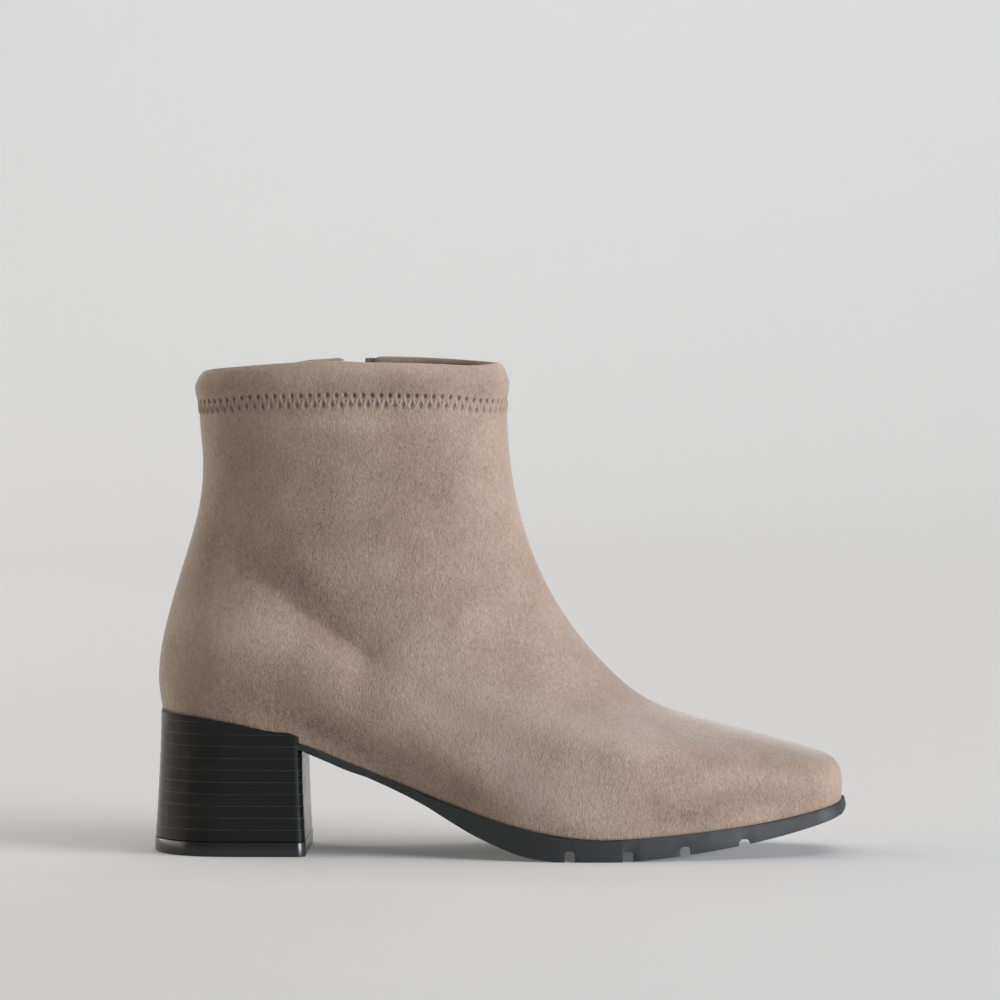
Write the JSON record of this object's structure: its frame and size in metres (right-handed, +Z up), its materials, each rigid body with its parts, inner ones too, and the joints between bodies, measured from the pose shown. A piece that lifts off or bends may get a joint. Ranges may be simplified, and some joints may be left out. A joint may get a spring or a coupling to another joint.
{
  "type": "heeled ankle boot",
  "caption": "Ankle boot for the right foot with a soft suede upper, folded stitched collar, inner-side zip, squared toe, thin grooved sole and a block heel with a stacked look.",
  "frame": {"origin": "on the floor, under the middle of the boot's box", "axes": "+X to the toe, +Y to the inner side of the foot, where the zip is, +Z up; -Y is the outer side"},
  "size_m": [0.2497, 0.0862, 0.177],
  "materials": {
    "suede": "napped taupe suede, matt",
    "sole_rubber": "black moulded rubber, semi-matt",
    "heel_block": "black, fine stacked lines, satin",
    "footbed": "smooth lining leather, matt",
    "zip_tape": "woven taupe tape",
    "zip_coil": "taupe coil",
    "zip_metal": "dark nickel"
  },
  "bodies": {
    "boot": {"upper": "suede", "outsole": "sole_rubber", "heel": "heel_block", "top_lift": "sole_rubber", "insole": "footbed", "zip_tape": "zip_tape", "zip_chain": "zip_coil", "zip_slider": "zip_metal"},
    "pull": {"zip_pull": "zip_metal"}
  },
  "joints": [
    {"name": "pull_swing", "type": "hinge", "parent": "boot", "child": "pull", "pos_m": [-0.05353, 0.03742, 0.16714], "axis": [0.9852, -0.0089, -0.1714], "range_deg": [-4, 150]}
  ]
}
